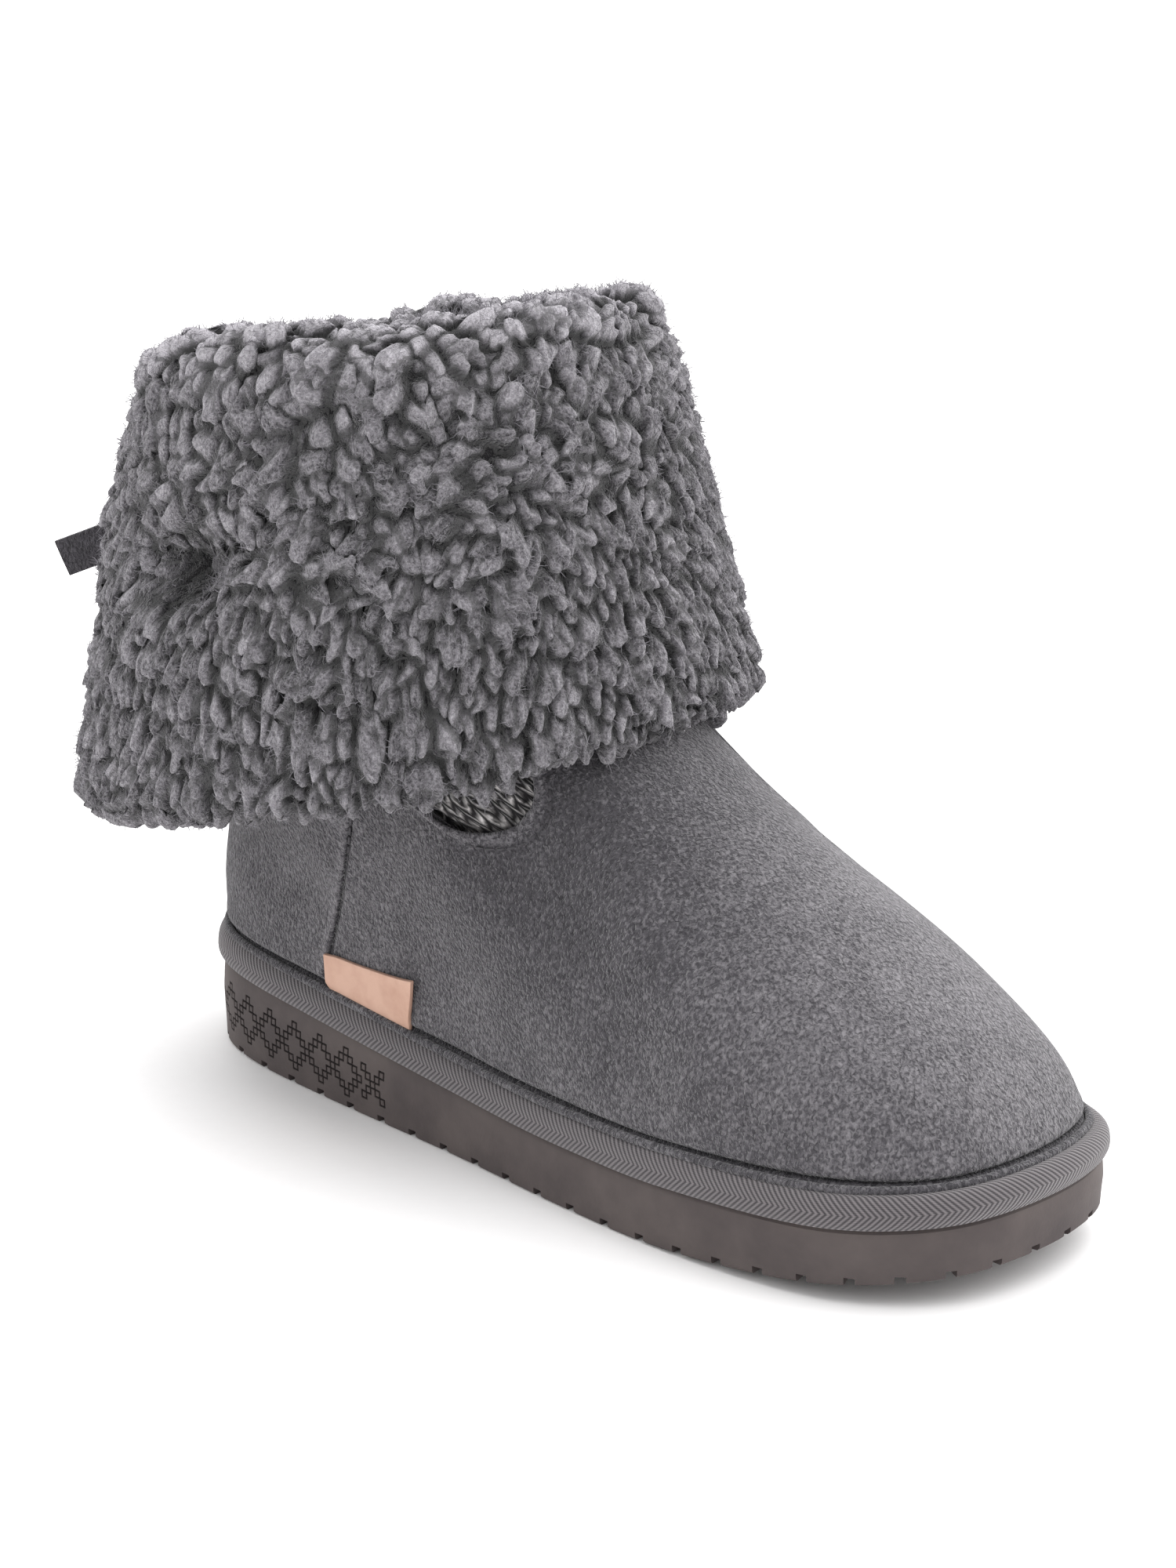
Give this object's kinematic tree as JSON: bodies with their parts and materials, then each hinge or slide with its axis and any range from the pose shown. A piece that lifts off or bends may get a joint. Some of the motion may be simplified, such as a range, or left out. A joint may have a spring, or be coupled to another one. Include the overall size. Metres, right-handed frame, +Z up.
{
  "type": "fold-over winter boot",
  "caption": "Right-foot pull-on winter boot with a suede foot, knitted shaft, deep turned-down fleece cuff tied at the back, tape-bound edge and thick notched sole.",
  "frame": {"origin": "on the floor below the middle of the whole boot", "axes": "+X from heel to toe, +Y towards the inner side of the foot, +Z up"},
  "size_m": [0.321, 0.168, 0.2163],
  "materials": {
    "sole_foam": "matt moulded, brownish grey",
    "twill_tape": "herringbone twill",
    "suede": "brushed microsuede",
    "knit": "marled cable knit",
    "fleece": "curly long-pile fleece",
    "tag_leather": "matt, bare"
  },
  "bodies": {
    "root": {"outsole": "sole_foam", "welt": "twill_tape", "upper": "suede", "insole": "fleece", "shaft": "knit", "fleece_cuff": "fleece", "tie_patch_outer": "suede", "tie_patch_inner": "suede", "tie": "suede", "tag": "tag_leather"}
  },
  "joints": []
}
